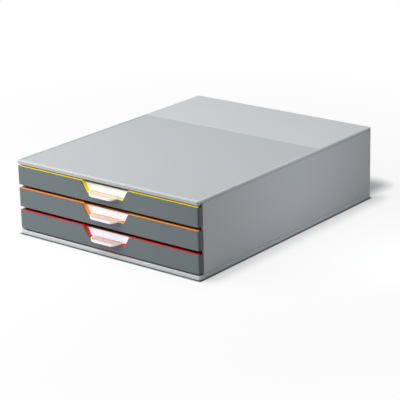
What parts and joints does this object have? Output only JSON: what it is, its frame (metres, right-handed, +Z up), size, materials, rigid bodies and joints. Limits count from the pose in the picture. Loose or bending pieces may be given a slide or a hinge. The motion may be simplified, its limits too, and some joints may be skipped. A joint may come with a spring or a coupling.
{
  "type": "desktop file drawer",
  "caption": "Low desktop drawer unit: grey plastic housing with slide-out coloured trays behind dark fronts, each with a clear label window and grip lip.",
  "frame": {"origin": "on the desk under the middle of the whole object, grip lips included", "axes": "+X to the right, -Y towards the drawer fronts, +Z up"},
  "size_m": [0.28, 0.3644, 0.095],
  "materials": {
    "housing_grey": "fine matt texture",
    "fascia_grey": "fine matt texture",
    "tray_yellow": "satin",
    "tray_orange": "satin",
    "tray_red": "satin",
    "clear_plastic": "clear, polished",
    "label_white": "paper",
    "foot_rubber": "matt"
  },
  "bodies": {
    "housing": {"top_panel": "housing_grey", "base_panel": "housing_grey", "left_side_panel": "housing_grey", "right_side_panel": "housing_grey", "rear_panel": "housing_grey", "front_left_foot": "foot_rubber", "front_right_foot": "foot_rubber", "rear_left_foot": "foot_rubber", "rear_right_foot": "foot_rubber"},
    "upper_drawer": {"upper_tray": "tray_yellow", "upper_fascia": "fascia_grey", "upper_label_holder": "clear_plastic", "upper_label_card": "label_white"},
    "middle_drawer": {"middle_tray": "tray_orange", "middle_fascia": "fascia_grey", "middle_label_holder": "clear_plastic", "middle_label_card": "label_white"},
    "lower_drawer": {"lower_tray": "tray_red", "lower_fascia": "fascia_grey", "lower_label_holder": "clear_plastic", "lower_label_card": "label_white"}
  },
  "joints": [
    {"name": "upper_drawer_slide", "type": "slide", "parent": "housing", "child": "upper_drawer", "axis": [0, -1, 0], "range_m": [0, 0.29]},
    {"name": "middle_drawer_slide", "type": "slide", "parent": "housing", "child": "middle_drawer", "axis": [0, -1, 0], "range_m": [0, 0.29]},
    {"name": "lower_drawer_slide", "type": "slide", "parent": "housing", "child": "lower_drawer", "axis": [0, -1, 0], "range_m": [0, 0.29]}
  ]
}
